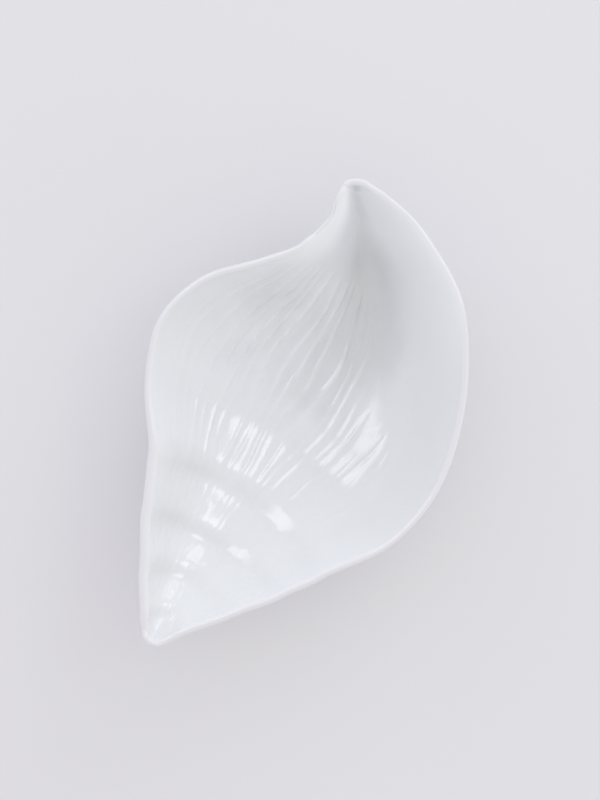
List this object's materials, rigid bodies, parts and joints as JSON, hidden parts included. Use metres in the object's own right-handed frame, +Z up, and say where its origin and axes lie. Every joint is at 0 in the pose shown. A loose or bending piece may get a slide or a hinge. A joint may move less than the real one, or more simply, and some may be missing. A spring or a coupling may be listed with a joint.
{
  "type": "serving dish",
  "caption": "Serving dish in the form of a conch cut lengthwise: thin glazed porcelain with a fluted bowl, a stepped spire and a flared canal, on luted peg feet.",
  "frame": {"origin": "on the table under the middle of the dish's box", "axes": "+Z up out of the bowl, +Y along the spire's axis from the apex to the canal tip, +X to the shell's right when the apex is nearest"},
  "size_m": [0.1609, 0.2476, 0.0628],
  "materials": {
    "white_glaze": "clear gloss glaze on white porcelain",
    "foot_porcelain": "the same glaze, wiped off the standing face, which is bare porcelain"
  },
  "bodies": {
    "root": {"shell_bowl": "white_glaze", "foot_spire": "foot_porcelain", "foot_left": "foot_porcelain", "foot_right": "foot_porcelain"}
  },
  "joints": []
}
